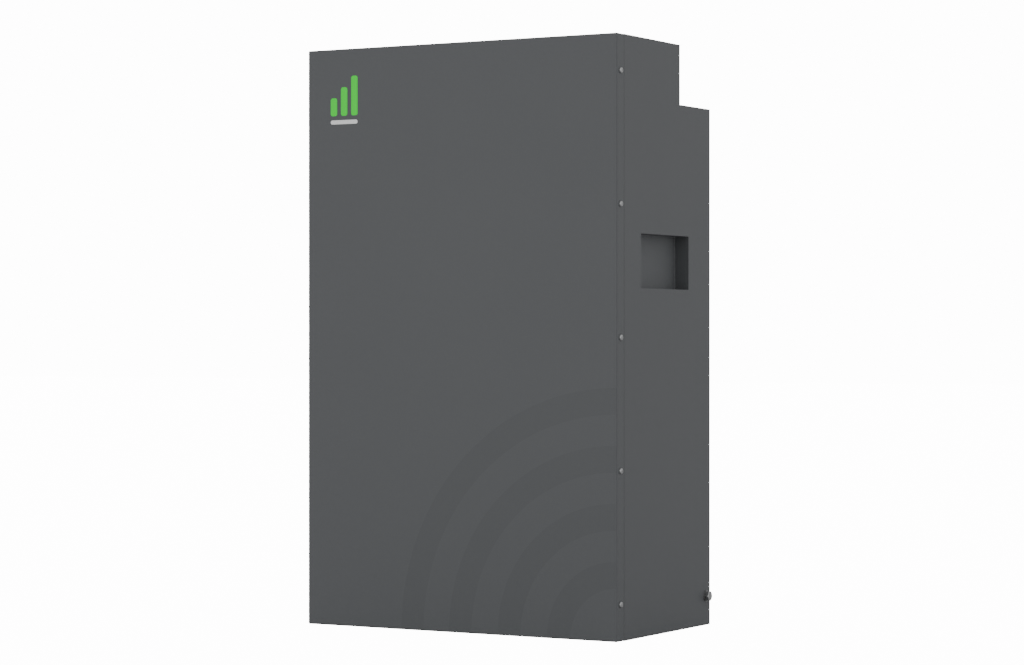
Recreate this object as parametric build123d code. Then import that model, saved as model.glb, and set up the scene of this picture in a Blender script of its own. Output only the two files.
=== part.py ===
"""Battery storage cabinet: a folded sheet-steel case with a screwed front cover, a stepped connection bay
at the top rear, lifting pockets in both sides and a 16-cell battery pack with its electronics inside.

Millimetres. X runs to the right as seen from the front, Y to the back, Z up. The origin is the middle of the
base, on the floor.
"""

from build123d import *
import os

# ---- Case -------------------------------------------------------------------------------------------------
case_width = 500.0
case_depth = 285.0
case_height = 820.0
sheet = 1.5                     # steel sheet of every folded panel
bend = 2.0                      # outside radius of a bend
seam = 0.5                      # open seam between the cover's flange and the case

bay_depth = 97.0                # connection bay, cut out of the top rear
bay_height = 84.0

cover_depth = 20.0              # depth of the front cover's return flanges
gasket_thickness = 3.0
gasket_width = 12.0
frame_depth = 41.0              # front frame, welded inside the case mouth
frame_flange = 18.0
rear_flange = 18.0              # inward flange of each side panel, at the back
base_flange = 25.0
shelf_flange = 20.0

# ---- Cover and back screws --------------------------------------------------------------------------------
screw_rows = 5
screw_margin = 50.0             # end screws, from the cover's top and bottom
screw_setback = 10.0            # cover screw's distance behind the front face
screw_radius = 2.0              # M4
screw_hole_radius = 2.25
screw_head_radius = 4.0
screw_head_height = 2.4
screw_length = 9.0
cross_width = 1.2               # cross recess in a screw head
cross_length = 4.6
cross_depth = 1.3
weld_nut_radius = 3.5
weld_nut_height = 3.2
thread_gap = 0.05               # radial room between a screw and its nut
back_screw_rows = 5
back_screw_margin = 48.0
back_screw_inset = 9.0

# ---- Lifting pockets --------------------------------------------------------------------------------------
pocket_length = 145.0           # along Y
pocket_height = 75.0
pocket_depth = 22.0
pocket_middle = 514.5           # height of its centre
pocket_flange = 10.0
pocket_bend = 3.0

# ---- Wall fixings and earth point -------------------------------------------------------------------------
wall_inset = 35.0               # from each side
wall_lowest = 120.0
wall_below_shelf = 76.0
rivet_sleeve_radius = 5.5
rivet_flange_radius = 8.0
rivet_flange_height = 1.0
rivet_length = 14.0
m8_tap_radius = 3.4
m8_radius = 4.0
m8_flats = 13.0
m8_head_height = 5.3
m8_nut_height = 6.5
m8_hole_radius = 4.3
earth_inset = 14.0              # from the back
earth_height = 41.5
earth_washer_radius = 8.0
earth_washer_height = 1.6
earth_shank = 18.0

# ---- Battery pack -----------------------------------------------------------------------------------------
cell_width = 173.7              # along X
cell_thick = 71.7               # along Z
cell_length = 204.8             # along Y, terminals to the front
cell_corner = 3.0
separator = 1.0
divider = 10.0                  # sheet between the two columns
cell_rear_gap = 5.0             # room behind the cells
cable_room = 40.0               # least height between the pack and the breaker
pad_radius = 8.0                # cell terminals
pad_height = 2.4
pad_offset = 61.0
vent_radius = 9.0
vent_depth = 0.5
rail_height = 12.0
rail_width = 30.0
rail_sheet = 2.0
rail_length = 350.0
plate_thick = 8.0               # end plates
plate_overhang = 18.3
plate_setback = 4.0             # end plate edges behind the cell faces
rod_inset = 9.0                 # tie rods, from the plates' ends
rod_count = 3
rod_pitch = 73.0
rod_tail = 3.0
bar_thick = 2.0                 # busbars
bar_width = 20.0
carrier_thick = 2.0
carrier_edge = 8.0
carrier_window = 22.0
tab_rise = 62.0                 # end tabs, above the top cells' terminals

# ---- Electronics ------------------------------------------------------------------------------------------
tray_height = 159.0             # plate across the case that carries the electronics
tray_headroom = 21.0            # above it, to the top of the case
tray_face = -30.0               # its front face, along Y
tray_flange = 20.0
bms_middle = -75.0
bms_width = 220.0
bms_rise = 28.0                 # above the plate's lower edge
bms_height = 110.0
heatsink_base = 4.0
fin_height = 12.0
fin_thick = 3.0
fin_count = 14
board_thick = 1.6
fet_size = (10.0, 4.5, 9.0)
fet_count = 12
fuse_middle = 150.0
fuse_rise = 76.0
fuse_base = (96.0, 12.0, 30.0)
fuse_radius = 11.0
fuse_length = 46.0
fuse_tab = 3.0

# ---- Connection bay ---------------------------------------------------------------------------------------
bay_row = 46.5                  # front-to-back middle of the fittings, in front of the back face
breaker_middle = 45.0
breaker_length = 90.0
breaker_width = 36.0
breaker_body = 64.0             # depth below the shelf
nose_length = 45.0
nose_height = 8.0
cut_gap = 0.3                   # room round what passes through the shelf
lever_drum = 12.0
lever_width = 22.0
lever_reach = 27.0
lever_thick = 6.0
lever_tilt = 33.0               # either side of upright
lever_axis = 0.5                # above the shelf
shaft_radius = 2.0
shaft_length = 32.0
running_gap = 0.05

block_middles = {"negative": -165.0, "positive": -55.0}
block_length = 90.0
block_front = 64.0              # from the riser's side of the bay, along Y
block_back = 126.0
block_height = 14.0
block_corner = 3.0
boss_radius = 11.5
boss_drop = 6.0
insert_pitch = 44.0
insert_row = 102.0
insert_radius = 8.0
insert_proud = 1.0
insert_hole = 14.0
stud_radius = 5.0
stud_drop = 12.0
rib_thick = 3.0
rib_height = 14.0
lid_wall = 2.0
lid_gap = 0.3
lid_front = 74.0
lid_height = 22.0
lid_notch = 17.0
lid_corner = 4.0
hinge_y = 68.0
hinge_rise = 4.0                # hinge axis above the block
pin_radius = 1.5
knuckle_radius = 3.5
knuckle_length = 30.0
ear_length = 8.0
ear_gap = 1.0

button_middle = 112.0
button_flange_radius = 12.5
button_flange_height = 2.5
button_barrel_radius = 9.5
button_bore = 7.6
button_cap_radius = 7.5
button_cap_height = 10.0
button_cap_proud = 4.5
button_depth = 24.0
button_nut_radius = 12.5
button_nut_height = 4.0

socket_middles = (145.0, 165.0, 185.0)
socket_side = 16.0
socket_proud = 4.0
socket_depth = 14.0
socket_mouth = (12.0, 8.0)
comm_board_drop = 12.5
comm_board_size = (66.0, 28.0)
standoff_radius = 2.5

cable_radius = 5.5
cable_over_pack = 7.4           # a cable's middle above the tie rods
cable_climb = 30.0              # rise of a cable on its way forward to the electronics

# ---- Planes and places worked out from the sizes above ----------------------------------------------------
half_width = case_width / 2
inner_x = half_width - sheet
front = -case_depth / 2
back = case_depth / 2
body_front = front + cover_depth + seam
shelf_top = case_height - bay_height
shelf_under = shelf_top - sheet
riser_back = back - bay_depth
riser_front = riser_back - sheet
frame_front = front + sheet + gasket_thickness
frame_back = frame_front + frame_depth
back_panel_outer = back - sheet
back_panel_inner = back_panel_outer - sheet
screw_pitch = (case_height - 2 * screw_margin) / (screw_rows - 1)
screw_heights = [screw_margin + screw_pitch * n for n in range(screw_rows)]
back_screw_pitch = (shelf_top - 2 * back_screw_margin) / (back_screw_rows - 1)
wall_spacing_x = case_width - 2 * wall_inset
wall_spacing_z = shelf_top - wall_below_shelf - wall_lowest
screw_y = front + screw_setback
earth_y = back - earth_inset
pack_floor = sheet + rail_height
cells_bottom = pack_floor + plate_thick
cell_pitch = cell_thick + separator
rod_end = plate_thick + m8_nut_height + rod_tail
cell_space = shelf_under - breaker_body - cable_room - cells_bottom - separator - rod_end
cell_rows = 2 * int(cell_space / (2 * cell_pitch))      # in pairs, so that both ends come out at the top
cells_top = cells_bottom + cell_pitch * cell_rows + separator
cell_back = back_panel_inner - cell_rear_gap
cell_front = cell_back - cell_length
pad_front = cell_front - pad_height
pack_top = cells_top + rod_end
column_x = divider / 2 + cell_width / 2
tray_top = case_height - tray_headroom
tray_bottom = tray_top - tray_height
bms_bottom = tray_bottom + bms_rise
fuse_height = tray_bottom + fuse_rise
plate_half = divider / 2 + cell_width + plate_overhang
rod_x = plate_half - rod_inset
rod_middle = (cell_front + cell_back) / 2
rod_rows = [rod_middle + rod_pitch * (n - (rod_count - 1) / 2) for n in range(rod_count)]
bay_y = back - bay_row - sheet


# ---- Small tools ------------------------------------------------------------------------------------------
def block(x, y, z):
    """A box from three (low, high) spans."""
    middle = [(a + b) / 2 for a, b in (x, y, z)]
    return Pos(*middle) * Box(x[1] - x[0], y[1] - y[0], z[1] - z[0])


def around(middle, size):
    """The span of that size about a middle."""
    return (middle - size / 2, middle + size / 2)


def rod(radius, start, end):
    """A cylinder between two points that lie on one axis."""
    a, b = Vector(*start), Vector(*end)
    place = Plane(origin=(a + b) / 2, z_dir=(b - a))
    return place * Cylinder(radius, (b - a).length)


def hexagon(flats, start, end):
    """A hexagonal prism, flats wide, between two points that lie on one axis."""
    a, b = Vector(*start), Vector(*end)
    place = Plane(origin=a, z_dir=(b - a))
    return extrude(place * RegularPolygon(flats / 2, 6, major_radius=False), (b - a).length)


def edges_near(shape, axis, **at):
    """Edges along an axis whose middles lie at the given coordinates."""
    found = shape.edges().filter_by(axis)
    for name, value in at.items():
        found = found.filter_by(lambda e, n=name, v=value: abs(getattr(e.center(), n) - v) < 0.01)
    return found


def mirrored(shape):
    return mirror(shape, about=Plane.YZ)


def both_sides(shape):
    return [shape, mirrored(shape)]


def save(name, *solids):
    """Writes one node, from one solid or a group of separate ones."""
    shape = solids[0] if len(solids) == 1 else Compound(children=list(solids))
    shape.label = name
    export_step(shape, f"parts/{name}.step")


# ---- Case -------------------------------------------------------------------------------------------------
def front_cover():
    """The tray that closes the front, with a return flange on all four sides."""
    tray = block((-half_width, half_width), (front, front + cover_depth), (0, case_height))
    rounded = tray.faces().sort_by(Axis.Y)[0].edges() + tray.edges().filter_by(Axis.Y)
    tray = fillet(rounded, bend)
    hollow = block((-inner_x, inner_x), (front + sheet, front + 2 * cover_depth), (sheet, case_height - sheet))
    tray -= fillet(hollow.faces().sort_by(Axis.Y)[0].edges(), bend - sheet)
    for z in screw_heights:
        tray -= rod(screw_hole_radius, (-case_width, screw_y, z), (case_width, screw_y, z))
    return tray


def ring(y, outer_x, z, width):
    """A flat rectangular ring between two Y planes."""
    outer = block((-outer_x, outer_x), y, z)
    return outer - block((width - outer_x, outer_x - width), y, (z[0] + width, z[1] - width))


def cover_gasket():
    return ring((front + sheet, frame_front), inner_x - sheet,
                (2 * sheet, case_height - 2 * sheet), gasket_width)


def front_frame():
    """The welded frame in the case mouth: a web under the cover's flange and a flange for the gasket."""
    z = (sheet, case_height - sheet)
    frame = ring((frame_front, frame_back), inner_x, z, sheet)
    frame += ring((frame_front, frame_front + sheet), inner_x, z, frame_flange)
    for height in screw_heights:
        frame -= rod(screw_hole_radius, (-case_width, screw_y, height), (case_width, screw_y, height))
    return frame


def side_panel(with_earth):
    """The right side panel, stepped round the bay, with its pocket window and rear flange."""
    skin = (inner_x, half_width)
    panel = block((half_width - rear_flange, half_width), (body_front, back), (0, shelf_top))
    panel = fillet(edges_near(panel, Axis.Z, X=half_width, Y=back), bend)
    hollow = block((0, inner_x), (front, back_panel_outer), (-1, case_height))
    panel -= fillet(edges_near(hollow, Axis.Z, X=inner_x, Y=back_panel_outer), bend - sheet)
    panel += block(skin, (body_front, riser_back), (shelf_top, case_height))
    panel -= block(skin, around(0, pocket_length), around(pocket_middle, pocket_height))
    for z in back_screw_heights():
        x = half_width - back_screw_inset
        panel -= rod(screw_hole_radius, (x, back_panel_outer - 1, z), (x, back + 1, z))
    if with_earth:
        panel -= rod(m8_hole_radius, (inner_x - 1, earth_y, earth_height), (half_width + 1, earth_y, earth_height))
    return panel


def back_screw_heights():
    return [back_screw_margin + back_screw_pitch * n for n in range(back_screw_rows)]


def base_panel():
    """The floor of the case, with flanges turned up at the sides and the back."""
    y = (frame_back + seam, back_panel_inner)
    tray = block((-inner_x, inner_x), y, (0, base_flange))
    low = [edges_near(tray, Axis.Y, X=side * inner_x, Z=0)[0] for side in (-1, 1)]
    tray = fillet(low + [edges_near(tray, Axis.X, Y=y[1], Z=0)[0]], bend)
    tray -= block((sheet - inner_x, inner_x - sheet), (y[0] - 1, y[1] - sheet), (sheet, base_flange + 1))
    return tray + block((-inner_x, inner_x), (body_front, y[0]), (0, sheet))


def top_panel():
    """The top of the case and the riser behind it, folded from one sheet, with side flanges."""
    y = (body_front, riser_back)
    shell = block((-inner_x, inner_x), y, (shelf_top, case_height))
    shell = fillet(edges_near(shell, Axis.X, Y=riser_back, Z=case_height), bend)
    hollow = block((-inner_x - 1, inner_x + 1), (body_front - 1, riser_front), (shelf_top - 1, case_height - sheet))
    shell -= fillet(edges_near(hollow, Axis.X, Y=riser_front, Z=case_height - sheet), bend - sheet)
    flange_y = (frame_back + seam, riser_front - bend)
    flange = block((inner_x - sheet, inner_x), flange_y, (tray_top + seam, case_height - sheet))
    return shell + flange + mirrored(flange)


def shelf_openings():
    """What is cut out of the shelf for the fittings that pass through it."""
    cuts = [block(around(breaker_middle, nose_length + 2 * cut_gap), around(bay_y, breaker_width + 2 * cut_gap),
                  (shelf_under - 1, shelf_top + 1))]
    side = socket_side + 2 * cut_gap
    cuts += [block(around(x, side), around(bay_y, side), (shelf_under - 1, shelf_top + 1)) for x in socket_middles]
    round_holes = [(button_middle, bay_y, button_barrel_radius + cut_gap)]
    for middle in block_middles.values():
        round_holes += [(middle + side * insert_pitch / 2, insert_row, boss_radius + cut_gap) for side in (-1, 1)]
    cuts += [rod(r, (x, y, shelf_under - 1), (x, y, shelf_top + 1)) for x, y, r in round_holes]
    return cuts


def bay_shelf():
    """The floor of the connection bay, which carries the terminals, breaker, button and sockets."""
    y = (riser_front, back_panel_outer)
    shelf = block((-inner_x, inner_x), y, (shelf_under, shelf_top))
    flange_z = (shelf_top - shelf_flange, shelf_under)
    shelf += block((-inner_x + sheet + seam, inner_x - sheet - seam), (back_panel_inner - sheet, back_panel_inner), flange_z)
    side = block((inner_x - sheet, inner_x), (riser_back, back_panel_inner - sheet - seam), flange_z)
    shelf += side + mirrored(side)
    for cut in shelf_openings():
        shelf -= cut
    return clear_of_bends(shelf)


def back_panel():
    """The back, inside the side panels' flanges, with the holes for its screws and the wall fixings."""
    panel = block((-inner_x, inner_x), (back_panel_inner, back_panel_outer), (0, shelf_under))
    for x in (-half_width + back_screw_inset, half_width - back_screw_inset):
        for z in back_screw_heights():
            panel -= rod(screw_radius + thread_gap, (x, back_panel_inner - 1, z), (x, back, z))
    for x, z in wall_places():
        panel -= rod(rivet_sleeve_radius, (x, back_panel_inner - 1, z), (x, back, z))
    return clear_of_bends(panel)


def clear_of_bends(shape):
    """Takes the rear corners off, where they meet the insides of the side panels' bends."""
    corners = [edges_near(shape, Axis.Z, X=side * inner_x, Y=back_panel_outer)[0] for side in (-1, 1)]
    return chamfer(corners, bend - sheet)


def handle_cup():
    """The right lifting pocket: a pressed cup behind the side panel's window."""
    inside = (half_width - pocket_depth, inner_x)
    y, z = around(0, pocket_length), around(pocket_middle, pocket_height)
    wall = 2 * sheet
    cup = block((inside[0] - sheet, inner_x), around(0, pocket_length + wall), around(pocket_middle, pocket_height + wall))
    cup = fillet(cup.faces().sort_by(Axis.X)[0].edges(), pocket_bend)
    rim = 2 * pocket_flange
    cup += block((inner_x - sheet, inner_x), around(0, pocket_length + rim), around(pocket_middle, pocket_height + rim))
    hollow = block((inside[0], half_width), y, z)
    return cup - fillet(hollow.faces().sort_by(Axis.X)[0].edges(), pocket_bend - sheet)


def pan_screw(length):
    """An M4 pan-head screw along +X, its head's seat at the origin, pointing into -X."""
    head = rod(screw_head_radius, (0, 0, 0), (screw_head_height, 0, 0))
    head = fillet(head.edges().sort_by(Axis.X)[-1], screw_head_height * 0.6)
    depth = (screw_head_height - cross_depth, screw_head_height + 1)
    head -= block(depth, around(0, cross_width), around(0, cross_length))
    head -= block(depth, around(0, cross_length), around(0, cross_width))
    return head + rod(screw_radius, (-length, 0, 0), (0, 0, 0))


def case_screws():
    """The alike M4 screws of the front cover, in its side flanges, and of the back."""
    x = half_width - back_screw_inset
    screws = [Pos(half_width, screw_y, z) * pan_screw(screw_length) for z in screw_heights]
    screws += [Pos(x, back, z) * Rot(0, 0, 90) * pan_screw(screw_length) for z in back_screw_heights()]
    return screws + [mirrored(s) for s in screws]


def cover_nuts():
    end = inner_x - sheet
    nuts = []
    for z in screw_heights:
        nut = rod(weld_nut_radius, (end - weld_nut_height, screw_y, z), (end, screw_y, z))
        nuts.append(nut - rod(screw_radius + thread_gap, (end - screw_length, screw_y, z), (end, screw_y, z)))
    return nuts + [mirrored(n) for n in nuts]


def wall_places():
    """Middles of the four wall fixings on the back."""
    return [(x, z) for z in (wall_lowest, wall_lowest + wall_spacing_z) for x in around(0, wall_spacing_x)]


def wall_rivet_nuts():
    """M8 rivet nuts in the back panel, tapped right through."""
    nuts = []
    for x, z in wall_places():
        nut = rod(rivet_flange_radius, (x, back_panel_outer, z), (x, back_panel_outer + rivet_flange_height, z))
        nut += rod(rivet_sleeve_radius, (x, back_panel_outer - rivet_length, z), (x, back_panel_outer, z))
        nuts.append(nut - rod(m8_tap_radius, (x, back_panel_outer - rivet_length - 1, z), (x, back + 1, z)))
    return nuts


def earth_point():
    """The hexagon-head earth bolt, its washer and the nut welded inside the right side panel."""
    def at(x):
        return (x, earth_y, earth_height)
    seat = half_width + earth_washer_height
    head = hexagon(m8_flats, at(seat), at(seat + m8_head_height))
    washer = rod(earth_washer_radius, at(half_width), at(seat)) - rod(m8_hole_radius, at(half_width - 1), at(seat + 1))
    nut = hexagon(m8_flats, at(inner_x - m8_nut_height), at(inner_x))
    nut -= rod(m8_radius + thread_gap, at(inner_x - m8_nut_height - 1), at(inner_x + 1))
    return {"bolt": head + rod(m8_radius, at(seat - earth_shank), at(seat)), "washer": washer, "nut": nut}


# ---- Battery pack -----------------------------------------------------------------------------------------
def pack_rails():
    """Two channels, open side down, that carry the pack on the case floor."""
    rails = []
    for y in (rod_rows[0], rod_rows[-1]):
        rail = block(around(0, rail_length), around(y, rail_width), (sheet, pack_floor))
        rail = fillet(rail.faces().sort_by(Axis.Z)[-1].edges().filter_by(Axis.X), rail_sheet)
        rails.append(rail - block(around(0, rail_length + 2), around(y, rail_width - 2 * rail_sheet),
                                  (0, pack_floor - rail_sheet)))
    return rails


def end_plate(bottom):
    plate = block((-plate_half, plate_half), (cell_front + plate_setback, cell_back - plate_setback),
                  (bottom, bottom + plate_thick))
    plate = fillet(plate.edges().filter_by(Axis.Z), cell_corner)
    for x in (-rod_x, rod_x):
        for y in rod_rows:
            plate -= rod(m8_hole_radius, (x, y, bottom - 1), (x, y, bottom + plate_thick + 1))
    return plate


def tie_rods():
    low = pack_floor - m8_nut_height - rod_tail
    return [rod(m8_radius, (x, y, low), (x, y, pack_top)) for x in (-rod_x, rod_x) for y in rod_rows]


def m8_nuts():
    """The alike M8 nuts: two to each tie rod and one behind the earth bolt."""
    nuts = [earth_point()["nut"]]
    for bottom in (pack_floor - m8_nut_height, cells_top + plate_thick):
        for x in (-rod_x, rod_x):
            for y in rod_rows:
                nut = hexagon(m8_flats, (x, y, bottom), (x, y, bottom + m8_nut_height))
                nuts.append(nut - rod(m8_radius + thread_gap, (x, y, bottom - 1), (x, y, bottom + m8_nut_height + 1)))
    return nuts


def cell(column, row):
    """One prismatic cell, lying with its terminals to the front."""
    x = column * column_x
    bottom = cells_bottom + separator + cell_pitch * row
    middle = bottom + cell_thick / 2
    can = block(around(x, cell_width), (cell_front, cell_back), (bottom, bottom + cell_thick))
    can = fillet(can.edges().filter_by(Axis.Y), cell_corner)
    for side in (-1, 1):
        pad_x = x + side * pad_offset
        can += rod(pad_radius, (pad_x, pad_front, middle), (pad_x, cell_front, middle))
    return can - rod(vent_radius, (x, cell_front - 1, middle), (x, cell_front + vent_depth, middle))


def cell_separators():
    y = (cell_front + plate_setback, cell_back)
    sheets = []
    for column in (-1, 1):
        for row in range(cell_rows + 1):
            bottom = cells_bottom + cell_pitch * row
            sheets.append(block(around(column * column_x, cell_width), y, (bottom, bottom + separator)))
    return sheets


def pad_z(row):
    return cells_bottom + separator + cell_pitch * row + cell_thick / 2


def busbar_carriers():
    """Insulating plates on the cell faces, with a window for each terminal and each vent."""
    carriers = []
    for column in (-1, 1):
        x = column * column_x
        carrier = block(around(x, cell_width - carrier_edge), (cell_front - carrier_thick, cell_front),
                        (cells_bottom + carrier_edge, cells_top - carrier_edge))
        for row in range(cell_rows):
            for place in (x - pad_offset, x, x + pad_offset):
                carrier -= block(around(place, carrier_window), (cell_front - carrier_thick - 1, cell_front + 1),
                                 around(pad_z(row), carrier_window))
        carriers.append(carrier)
    return carriers


def busbars():
    """Links that join the cells in series, the bridge between the columns and the two end tabs."""
    y = (pad_front - bar_thick, pad_front)
    bars = []
    for column in (-1, 1):
        for row in range(cell_rows - 1):
            outward = 1 if row % 2 == 0 else -1
            x = column * (column_x + outward * pad_offset)
            bars.append(block(around(x, bar_width), y, (pad_z(row) - bar_width / 2, pad_z(row + 1) + bar_width / 2)))
        x = column * (column_x - pad_offset)
        top = pad_z(cell_rows - 1)
        bars.append(block(around(x, bar_width), y, (top - bar_width / 2, top + tab_rise)))
    reach = column_x - pad_offset + bar_width / 2
    bars.append(block((-reach, reach), y, around(pad_z(0), bar_width)))
    return [fillet(bar.edges().filter_by(Axis.Y), cell_corner) for bar in bars]


# ---- Electronics ------------------------------------------------------------------------------------------
def electronics_plate():
    """The folded plate across the case that carries the management unit and the fuse."""
    z = (tray_bottom, tray_top)
    plate = block((-inner_x, inner_x), (tray_face, tray_face + tray_flange), z)
    plate = fillet(plate.faces().sort_by(Axis.Y)[0].edges().filter_by(Axis.Z), bend)
    return plate - block((sheet - inner_x, inner_x - sheet), (tray_face + sheet, back), (tray_bottom - 1, tray_top + 1))


def bms_heatsink():
    z = (bms_bottom, bms_bottom + bms_height)
    root = tray_face - fin_height
    sink = block(around(bms_middle, bms_width), (root - heatsink_base, root), z)
    step = (bms_width - fin_thick) / (fin_count - 1)
    for n in range(fin_count):
        x = bms_middle - bms_width / 2 + fin_thick / 2 + step * n
        sink += block(around(x, fin_thick), (root, tray_face), z)
    return sink


def bms_board():
    """The management board: bare board, a row of power transistors and two busbar lands."""
    face = tray_face - fin_height - heatsink_base
    z = (bms_bottom, bms_bottom + bms_height)
    board = block(around(bms_middle, bms_width), (face - board_thick, face), z)
    wide, tall, high = fet_size
    step = (bms_width - 3 * wide) / (fet_count - 1)
    front_face = face - board_thick
    for n in range(fet_count):
        x = bms_middle - bms_width / 2 + 1.5 * wide + step * n
        for level in (0.3, 0.7):
            board += block(around(x, wide), (front_face - tall, front_face), around(bms_bottom + bms_height * level, high))
    for x in bms_land_middles():
        board += block(around(x, bar_width), (front_face - bar_thick, front_face), (z[0], z[0] + bar_width))
    return board


def bms_land_middles():
    """Middles of the management board's battery-side and load-side lands."""
    return [bms_middle + side * (bms_width / 2 - bar_width) for side in (1, -1)]


def main_fuse():
    """A bolted fuse on its insulating base, end tabs left and right."""
    wide, deep, tall = fuse_base
    y_face = tray_face - deep
    base = block(around(fuse_middle, wide), (y_face, tray_face), around(fuse_height, tall))
    y = y_face - fuse_radius
    tube = rod(fuse_radius, (fuse_middle - fuse_length / 2, y, fuse_height), (fuse_middle + fuse_length / 2, y, fuse_height))
    for side in (-1, 1):
        x = fuse_middle + side * (fuse_length / 2 + (wide - fuse_length) / 4)
        tube += block(around(x, (wide - fuse_length) / 2), (y_face - fuse_tab, y_face), around(fuse_height, bar_width))
    return [base, tube]


# ---- Connection bay ---------------------------------------------------------------------------------------
def lever_place():
    return (breaker_middle, bay_y, shelf_top + lever_axis)


def breaker_case():
    """The two-pole breaker: a body hung under the shelf and a nose through it, slotted for the lever's drum."""
    case = block(around(breaker_middle, breaker_length), around(bay_y, breaker_width), (shelf_under - breaker_body, shelf_under))
    case = fillet(case.edges().filter_by(Axis.Z), bend)
    case += block(around(breaker_middle, nose_length), around(bay_y, breaker_width), (shelf_under, shelf_top + nose_height))
    x, y, z = lever_place()
    drum = lever_width / 2 + cut_gap
    case -= rod(lever_drum + 2 * cut_gap, (x, y - drum, z), (x, y + drum, z))
    reach = shaft_length / 2 + cut_gap
    return case - rod(shaft_radius + running_gap, (x, y - reach, z), (x, y + reach, z))


def breaker_lever():
    """The lever for both poles, with its drum and shaft, lying to the off side."""
    x, y, z = lever_place()
    lever = rod(lever_drum, (0, -lever_width / 2, 0), (0, lever_width / 2, 0))
    lever += block(around(0, lever_thick), around(0, lever_width), (0, lever_reach))
    lever = fillet(lever.faces().sort_by(Axis.Z)[-1].edges().filter_by(Axis.Y), lever_thick / 3)
    lever += rod(shaft_radius, (0, -shaft_length / 2, 0), (0, shaft_length / 2, 0))
    return Pos(x, y, z) * Rot(0, -lever_tilt, 0) * lever


def insert_places(middle):
    return [(x, insert_row) for x in around(middle, insert_pitch)]


def terminal_block(middle):
    """The moulded block of one pole: seats for two inserts, a rib between them and two hinge ears."""
    top = shelf_top + block_height
    body = block(around(middle, block_length), (block_front, block_back), (shelf_top, top))
    body = fillet(body.edges().filter_by(Axis.Z), block_corner)
    body += block(around(middle, rib_thick), around(insert_row, insert_pitch - 2 * rib_thick), (top, top + rib_height))
    hinge = top + hinge_rise
    for side in (-1, 1):
        x = middle + side * (knuckle_length / 2 + ear_gap + ear_length / 2)
        span = around(x, ear_length)
        body += block(span, around(hinge_y, 2 * knuckle_radius), (top, hinge))
        body += rod(knuckle_radius, (span[0], hinge_y, hinge), (span[1], hinge_y, hinge))
    body -= rod(pin_radius + running_gap, (middle - block_length, hinge_y, hinge), (middle + block_length, hinge_y, hinge))
    for x, y in insert_places(middle):
        body += rod(boss_radius, (x, y, shelf_top - boss_drop), (x, y, shelf_top))
        body -= rod(insert_radius, (x, y, shelf_top), (x, y, top + 1))
        body -= rod(stud_radius, (x, y, shelf_top - boss_drop - 1), (x, y, shelf_top + 1))
    return body


def terminal_inserts():
    """Brass inserts, tapped M8 from above, each with a stud below for its cable."""
    top = shelf_top + block_height + insert_proud
    inserts = []
    for middle in block_middles.values():
        for x, y in insert_places(middle):
            insert = rod(insert_radius, (x, y, shelf_top), (x, y, top))
            insert += rod(stud_radius, (x, y, shelf_top - boss_drop - stud_drop), (x, y, shelf_top))
            inserts.append(insert - rod(m8_tap_radius, (x, y, top - insert_hole), (x, y, top + 1)))
    return inserts


def terminal_lid(middle):
    """The hinged cover of one terminal block, open below, with a notch behind each insert for its cable."""
    low = shelf_top + block_height + lid_gap
    high = shelf_top + block_height + lid_height
    lid = block(around(middle, block_length), (lid_front, block_back), (low, high))
    lid = fillet(lid.faces().sort_by(Axis.Z)[-1].edges() + lid.edges().filter_by(Axis.Z), lid_corner)
    lid -= block(around(middle, block_length - 2 * lid_wall), (lid_front + lid_wall, block_back - lid_wall),
                 (low - 1, high - lid_wall))
    for x, _ in insert_places(middle):
        lid -= block(around(x, lid_notch), (block_back - 2 * lid_wall, block_back + 1), (low - 1, low + lid_notch - lid_wall))
    hinge = shelf_top + block_height + hinge_rise
    span = around(middle, knuckle_length)
    lid += block(span, (hinge_y, lid_front + lid_wall), (hinge - lid_wall, hinge + lid_wall))
    lid += rod(knuckle_radius, (span[0], hinge_y, hinge), (span[1], hinge_y, hinge))
    return lid - rod(pin_radius + 2 * running_gap, (span[0] - 1, hinge_y, hinge), (span[1] + 1, hinge_y, hinge))


def hinge_pins():
    hinge = shelf_top + block_height + hinge_rise
    half = knuckle_length / 2 + ear_gap + ear_length
    return [rod(pin_radius, (x - half, hinge_y, hinge), (x + half, hinge_y, hinge)) for x in block_middles.values()]


def power_button():
    """The push button: a threaded barrel with its flange, the nut below the shelf and the sprung cap."""
    def at(z):
        return (button_middle, bay_y, z)
    body = rod(button_flange_radius, at(shelf_top), at(shelf_top + button_flange_height))
    body = fillet(body.edges().sort_by(Axis.Z)[-1], button_flange_height / 2)
    body += rod(button_barrel_radius, at(shelf_top - button_depth), at(shelf_top))
    floor = shelf_top + button_cap_proud - button_cap_height - 3
    body -= rod(button_bore, at(floor), at(shelf_top + button_flange_height + 1))
    nut = hexagon(2 * button_nut_radius, at(shelf_under - button_nut_height), at(shelf_under))
    nut -= rod(button_barrel_radius + thread_gap, at(shelf_under - button_nut_height - 1), at(shelf_under + 1))
    cap_top = shelf_top + button_cap_proud
    cap = rod(button_cap_radius, at(cap_top - button_cap_height), at(cap_top))
    cap = fillet(cap.edges().sort_by(Axis.Z)[-1], 1)
    return {"power_button_body": body, "power_button_nut": nut, "power_button_cap": cap}


def comm_sockets():
    """Three modular data sockets, mouths up."""
    top = shelf_top + socket_proud
    low = shelf_under - comm_board_drop
    sockets = []
    for x in socket_middles:
        body = block(around(x, socket_side), around(bay_y, socket_side), (low, top))
        wide, deep = socket_mouth
        body -= block(around(x, wide), around(bay_y, deep), (top - socket_depth, top + 1))
        sockets.append(body)
    return sockets


def comm_board():
    """The small board under the sockets, on four standoffs from the shelf."""
    middle = sum(socket_middles) / len(socket_middles)
    long, wide = comm_board_size
    top = shelf_under - comm_board_drop
    board = block(around(middle, long), around(bay_y, wide), (top - board_thick, top))
    for x in around(middle, long - 2 * standoff_radius):
        for y in around(bay_y, wide - 2 * standoff_radius):
            board += rod(standoff_radius, (x, y, top), (x, y, shelf_under))
    return board


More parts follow.
